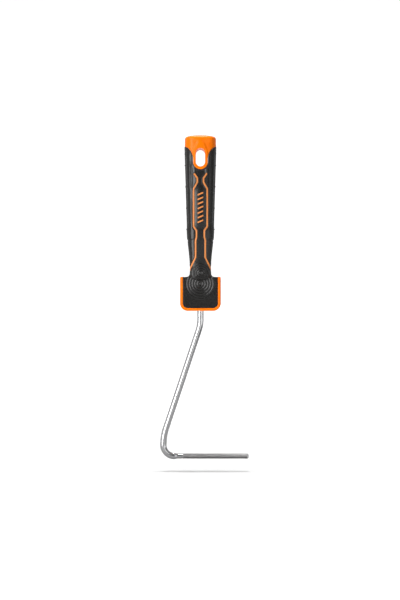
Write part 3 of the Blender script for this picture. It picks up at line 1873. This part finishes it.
@dataclass
class RollerWire:
    """The bent wire: the knurled arm, two bends, the slanted side and the shank in the handle."""

    foot_z: float
    tip_x: float
    dresser: Dresser
    wire_r: float = 3.0
    arm_r: float = 2.4
    offset: float = 35.1
    upper_bend_r: float = 35.0
    side_bend_r: float = 50.0
    corner_r: float = 10.5
    straight_below: float = 7.7
    shoulder_l: float = 3.0
    chamfer: float = 1.0
    chamfer_slope: float = 0.95
    tip_steps: tuple[float, ...] = (0.0, 0.15, 0.35, 0.6, 0.8)
    shank_l: float = 92.0
    round_points: int = 96
    knurl_from: float = -17.0
    knurl_step: float = 0.15
    knurl_starts: int = 13
    knurl_pitch: float = 1.25
    knurl_depth: float = 0.16
    knurl_flat: float = 0.45
    knurl_fade: float = 2.5
    arm_dullness: float = 0.45
    ear_l: float = 9.0
    ear_gap: float = 8.0
    ear_below_end: float = 3.0
    ear_slope: float = 0.6
    ear_broader: float = 0.23
    ear_thinner: float = 0.6

    def line(self) -> list[tuple[float, float, float]]:
        """The wire's centre line, from the tip to the end of the shank.

        Returns:
            For each station its X, its Z and the direction that it runs in, as an angle.
        """
        upper_z = self.foot_z - self.straight_below
        gap_x = self.upper_bend_r + self.side_bend_r - self.offset
        gap_z = upper_z - self.corner_r
        bends = self.upper_bend_r + self.side_bend_r
        lean = math.asin(bends / math.hypot(gap_x, gap_z)) - math.atan2(gap_x, gap_z)
        corner_x = -self.offset + self.corner_r
        shoulder_x = corner_x + self.shoulder_l
        along = [
            self.tip_x - np.array(self.tip_steps),
            np.arange(self.tip_x - self.chamfer, self.knurl_from, -self.knurl_step),
            np.linspace(self.knurl_from, shoulder_x, 14),
            np.linspace(shoulder_x, corner_x, 13)[1:-1],
        ]
        stations = [(float(x), 0.0, math.pi) for x in np.concatenate(along)]
        for a in np.radians(np.linspace(270.0, 180.0, 46)):
            x = corner_x + self.corner_r * math.cos(a)
            z = self.corner_r + self.corner_r * math.sin(a)
            stations.append((x, z, a - math.pi / 2))
        for a in np.linspace(math.pi, math.pi - lean, 16)[1:]:
            x = -self.offset + self.side_bend_r * (1 + math.cos(a))
            z = self.corner_r + self.side_bend_r * math.sin(a)
            stations.append((x, z, a - math.pi / 2))
        low_x, low_z, _ = stations[-1]
        high_x = -self.upper_bend_r * (1 - math.cos(lean))
        high_z = upper_z - self.upper_bend_r * math.sin(lean)
        for t in np.linspace(0.0, 1.0, 60)[1:-1]:
            x, z = low_x + (high_x - low_x) * t, low_z + (high_z - low_z) * t
            stations.append((x, z, math.pi / 2 - lean))
        for a in np.linspace(-lean, 0.0, 20):
            x = -self.upper_bend_r * (1 - math.cos(a))
            z = upper_z + self.upper_bend_r * math.sin(a)
            stations.append((x, z, a + math.pi / 2))
        for z in np.linspace(upper_z, self.foot_z + self.shank_l, 130)[1:]:
            stations.append((0.0, float(z), math.pi / 2))
        return stations

    def arm_radius(self, x: float) -> float:
        """The wire's radius along its arm, without the knurling.

        Args:
            x: distance along the arm.

        Returns:
            The radius.
        """
        corner_x = -self.offset + self.corner_r
        share = float(smooth_step(corner_x, corner_x + self.shoulder_l, np.array(x)))
        radius = self.wire_r + (self.arm_r - self.wire_r) * share
        past = max(0.0, x - (self.tip_x - self.chamfer))
        return radius - past * self.chamfer_slope

    def knurl(self, x: float, turn: Array) -> Array:
        """How deep into the crossed grooves each point of one ring of the arm lies.

        Args:
            x: distance along the arm.
            turn: angles round the wire.

        Returns:
            The shares of the full depth.
        """
        if not self.knurl_from < x < self.tip_x - self.chamfer:
            return np.zeros(turn.shape)
        around = turn * self.knurl_starts / (2 * math.pi)
        depth = np.zeros(turn.shape)
        for way in Way:
            place = (around + way.value * x / self.knurl_pitch) % 1.0
            depth = np.maximum(depth, smooth_step(self.knurl_flat, 1.0, np.abs(2 * place - 1)))
        fade = smooth_step(self.knurl_from, self.knurl_from + self.knurl_fade, np.array(x))
        return depth * fade

    def build(self) -> bpy.types.Object:
        """Builds and dresses the wire.

        Returns:
            The wire.
        """
        turn = np.linspace(0.0, 2 * math.pi, self.round_points, endpoint=False)
        end = self.foot_z + self.shank_l - self.ear_below_end
        ears = [end - self.ear_l / 2 - (self.ear_l + self.ear_gap) * i for i in range(2)]
        rings, run, grooves = [], [], []
        length, last = 0.0, None
        for x, z, heading in self.line():
            radius = np.full(turn.shape, self.wire_r)
            groove = np.zeros(turn.shape)
            ear = 0.0
            if z == 0.0:
                groove = self.knurl(x, turn)
                radius = self.arm_radius(x) - self.knurl_depth * groove
            elif x == 0.0:
                near = (float(hump(e, self.ear_l / 2 + self.ear_slope, np.array(z))) for e in ears)
                ear = min(1.0, 2.0 * max(near))
            side_x, side_z = -math.sin(heading), math.cos(heading)
            across = radius * np.cos(turn) * (1.0 + self.ear_broader * ear)
            deep = radius * np.sin(turn) * (1.0 - self.ear_thinner * ear)
            rings.append(np.stack([x + across * side_x, deep, z + across * side_z], axis=1))
            if last is not None:
                length += math.hypot(x - last[0], z - last[1])
            last = (x, z)
            run.append(length)
            in_arm = float(z == 0.0 and self.knurl_from < x < self.tip_x - self.chamfer)
            grooves.append(self.arm_dullness * in_arm + (1.0 - self.arm_dullness) * groove)
        sheet = Sheet()
        sheet.loops(np.array(rings))
        piece = sheet.build("steel_roller_wire", sharp=60.0)
        self.store_surface(piece, np.array(rings), np.array(run), turn, np.array(grooves))
        return self.dresser.dress(piece, BRIGHT_STEEL, Slot.STEEL, Node.WIRE)

    def store_surface(
        self,
        piece: bpy.types.Object,
        rings: Array,
        run: Array,
        turn: Array,
        grooves: Array,
    ) -> None:
        """Stores what the finish needs at each point of the wire.

        That is where the point would be if the wire were straight, for the drawn lines, and how
        far it is dulled by the grooves.

        Args:
            piece: the wire.
            rings: the wire's rings of points.
            run: length of wire up to each ring.
            turn: angles of a ring's points.
            grooves: the dullness at each point of the rings.
        """
        stored = np.stack(
            [
                np.repeat(run, len(turn)) * MM,
                np.tile(np.cos(turn) * self.wire_r, len(run)) * MM,
                np.tile(np.sin(turn) * self.wire_r, len(run)) * MM,
                grooves.ravel(),
            ],
            axis=1,
        )
        places = {tuple(np.round(p, 2)): row for p, row in zip(rings.reshape(-1, 3), stored)}
        end = np.zeros(4)
        values = np.zeros((len(piece.data.vertices), 4), np.float32)
        for i, vertex in enumerate(piece.data.vertices):
            values[i] = places.get(tuple(np.round(np.array(vertex.co) / MM, 2)), end)
        straight = piece.data.attributes.new("straightened", "FLOAT_VECTOR", "POINT")
        straight.data.foreach_set("vector", values[:, :3].ravel())
        grooved = piece.data.attributes.new("grooved", "FLOAT", "POINT")
        grooved.data.foreach_set("value", values[:, 3].copy())


# The studio


Place = tuple[float, float, float]
HANDLE_MIDDLE = (0.0, 0.0, 0.16)


@dataclass(frozen=True)
class Softbox:
    """A flat soft light. Its radiance is beside white paper at 1, and sizes are in metres."""

    name: str
    place: Place
    size: Point
    radiance: float
    aim: Place = HANDLE_MIDDLE

    def build(self) -> None:
        """Adds the light to the scene."""
        lamp = bpy.data.lights.new(self.name, "AREA")
        lamp.shape = "RECTANGLE"
        lamp.size, lamp.size_y = self.size
        lamp.energy = self.radiance * math.pi * self.size[0] * self.size[1]
        holder = bpy.data.objects.new(self.name, lamp)
        bpy.context.scene.collection.objects.link(holder)
        holder.location = self.place
        away = Vector(self.place) - Vector(self.aim)
        holder.rotation_mode = "QUATERNION"
        holder.rotation_quaternion = away.to_track_quat("Z", "Y")


@dataclass
class Studio:
    """The pale sweep, the soft lights and the camera, in metres."""

    lights: tuple[Softbox, ...] = (
        Softbox("key_softbox", (-0.65, -0.89, 0.3), (0.52, 1.1), 6.0),
        Softbox("left_softbox", (-1.08, -0.19, 0.25), (0.7, 1.1), 0.25),
        Softbox("right_softbox", (0.5, -0.98, 0.2), (0.45, 1.0), 1.1),
        Softbox("low_right_strip", (0.97, -0.52, 0.06), (0.9, 0.2), 1.3, (0.0, 0.0, 0.06)),
        Softbox("top_softbox", (0.0, 0.0, 1.35), (0.5, 0.14), 76.0, (0.0, 0.0, 0.0)),
    )

    floor_z: float = -0.0145
    wall_y: float = 2.6
    sweep_r: float = 0.6
    floor_half: float = 0.2
    wall_half: float = 0.56
    spread_y: float = 0.3
    near_y: float = -1.7
    wall_top: float = 2.2
    paper: Shade = (0.82, 0.82, 0.82, 1.0)
    mirrored_paper: Shade = (0.3, 0.3, 0.3, 1.0)
    paper_glow: Point = (0.0, 0.73)
    near_r: float = 0.25
    far_r: float = 0.9
    room_light: float = 0.27
    room_tilt: float = 0.22
    room_bright_way: Place = (-0.3, 0.93, 0.2)
    camera_distance: float = 1.5
    camera_height: float = 0.1475
    camera_x: float = -0.0004
    lens: float = 95.2

    def sweep_material(self) -> bpy.types.Material:
        """Makes the white paper of the sweep, lit through away from the object.

        Returns:
            The material.
        """
        material, links, shader = blank_material("studio_paper")
        shader.inputs["Roughness"].default_value = 0.9
        shader.inputs["Specular IOR Level"].default_value = 0.1
        shader.inputs["Emission Color"].default_value = (1.0, 1.0, 1.0, 1.0)
        away = links.node("ShaderNodeVectorMath", operation="LENGTH")
        links.join(links.place(), away.inputs[0])
        lit = (self.near_r, self.far_r)
        glow = links.ranged(away.outputs["Value"], lit, self.paper_glow, ease="SMOOTHSTEP")
        links.join(glow, shader.inputs["Emission Strength"])
        seen = links.node("ShaderNodeLightPath").outputs["Is Glossy Ray"]
        shade = links.mix(seen, self.paper, self.mirrored_paper)
        links.join(shade, shader.inputs["Base Color"])
        return material

    def build_sweep(self) -> None:
        """Builds the floor that sweeps up into a wall."""
        turn = np.radians(np.linspace(-90.0, 0.0, 24))
        line = [(self.near_y, self.floor_z)]
        line += [
            (
                self.wall_y - self.sweep_r + self.sweep_r * math.cos(a),
                self.floor_z + self.sweep_r + self.sweep_r * math.sin(a),
            )
            for a in turn
        ]
        line += [(self.wall_y, self.wall_top)]
        ends, halves = (self.spread_y, self.wall_y), (self.floor_half, self.wall_half)
        grid = [
            [(side * np.interp(y, ends, halves), y, z) for side in (-1, 0, 1)] for y, z in line
        ]
        sheet = Sheet()
        sheet.patch(np.array(grid) / MM)
        floor = sheet.build("studio_sweep")
        floor.data.materials.append(self.sweep_material())

    def build_lights(self) -> None:
        """Sets up the softboxes and the room's own light."""
        for light in self.lights:
            light.build()
        world = bpy.data.worlds.new("studio_room")
        bpy.context.scene.world = world
        world.use_nodes = True
        links = Links(world.node_tree)
        room = world.node_tree.nodes["Background"]
        room.inputs["Color"].default_value = (1.0, 1.0, 1.0, 1.0)
        look = links.node("ShaderNodeTexCoord")
        facing = links.node("ShaderNodeVectorMath", operation="DOT_PRODUCT")
        links.join(look.outputs["Generated"], facing.inputs[0])
        facing.inputs[1].default_value = self.room_bright_way
        tilt = links.maths("MULTIPLY", facing.outputs["Value"], self.room_tilt)
        lit = links.maths("ADD", tilt, self.room_light)
        seen = links.node("ShaderNodeLightPath").outputs["Is Camera Ray"]
        strength = links.mix(seen, lit, 1.0, kind="FLOAT")
        links.join(strength, room.inputs["Strength"])

    def build_camera(self) -> None:
        """Sets up a level camera square to the handle's front face."""
        lens = bpy.data.cameras.new("studio_camera")
        lens.lens = self.lens
        lens.sensor_width = 36.0
        camera = bpy.data.objects.new("studio_camera", lens)
        camera.location = (self.camera_x, -self.camera_distance, self.camera_height)
        camera.rotation_euler = (math.pi / 2, 0.0, 0.0)
        bpy.context.scene.collection.objects.link(camera)
        bpy.context.scene.camera = camera
        bpy.context.scene.view_settings.view_transform = "Standard"

    def build(self) -> None:
        """Builds the whole studio."""
        self.build_sweep()
        self.build_lights()
        self.build_camera()


def dress_anchor(dresser: Dresser) -> None:
    """Gives the plug inside the handle its finish.

    Args:
        dresser: what holds the finishes.
    """
    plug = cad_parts[Node.ANCHOR.value]
    plug.data.materials.clear()
    plug.data.materials.append(dresser.finish(ANCHOR_BLACK))
    LOG.info("%s: kept from the frame, %s", plug.name, ANCHOR_BLACK.name)


def main() -> None:
    """Builds every piece in order."""
    logging.basicConfig(level=logging.INFO, format="%(name)s: %(message)s")
    core_low, core_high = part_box(Node.CORE.value)
    foot_z, rest_half = core_low.z / MM, core_high.x / MM
    tip_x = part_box(Node.WIRE.value)[1].x / MM
    dresser = Dresser()
    form = HandleForm(foot_z=foot_z)
    seam = CapSeam()
    skin = SoftSkin(form=form, seam=seam, stripe=StripeLine(), dresser=dresser)
    RollerWire(foot_z=foot_z, tip_x=tip_x, dresser=dresser).build()
    skin.build()
    StripePair(skin=skin).build()
    MarkBars(skin=skin).build()
    ButtCap(form=form, seam=seam, slot=HangSlot(), skin=skin, dresser=dresser).build()
    ThumbRest(foot_z=foot_z, half=rest_half, dresser=dresser).build()
    dress_anchor(dresser)
    Studio().build()


if __name__ == "__main__":
    main()
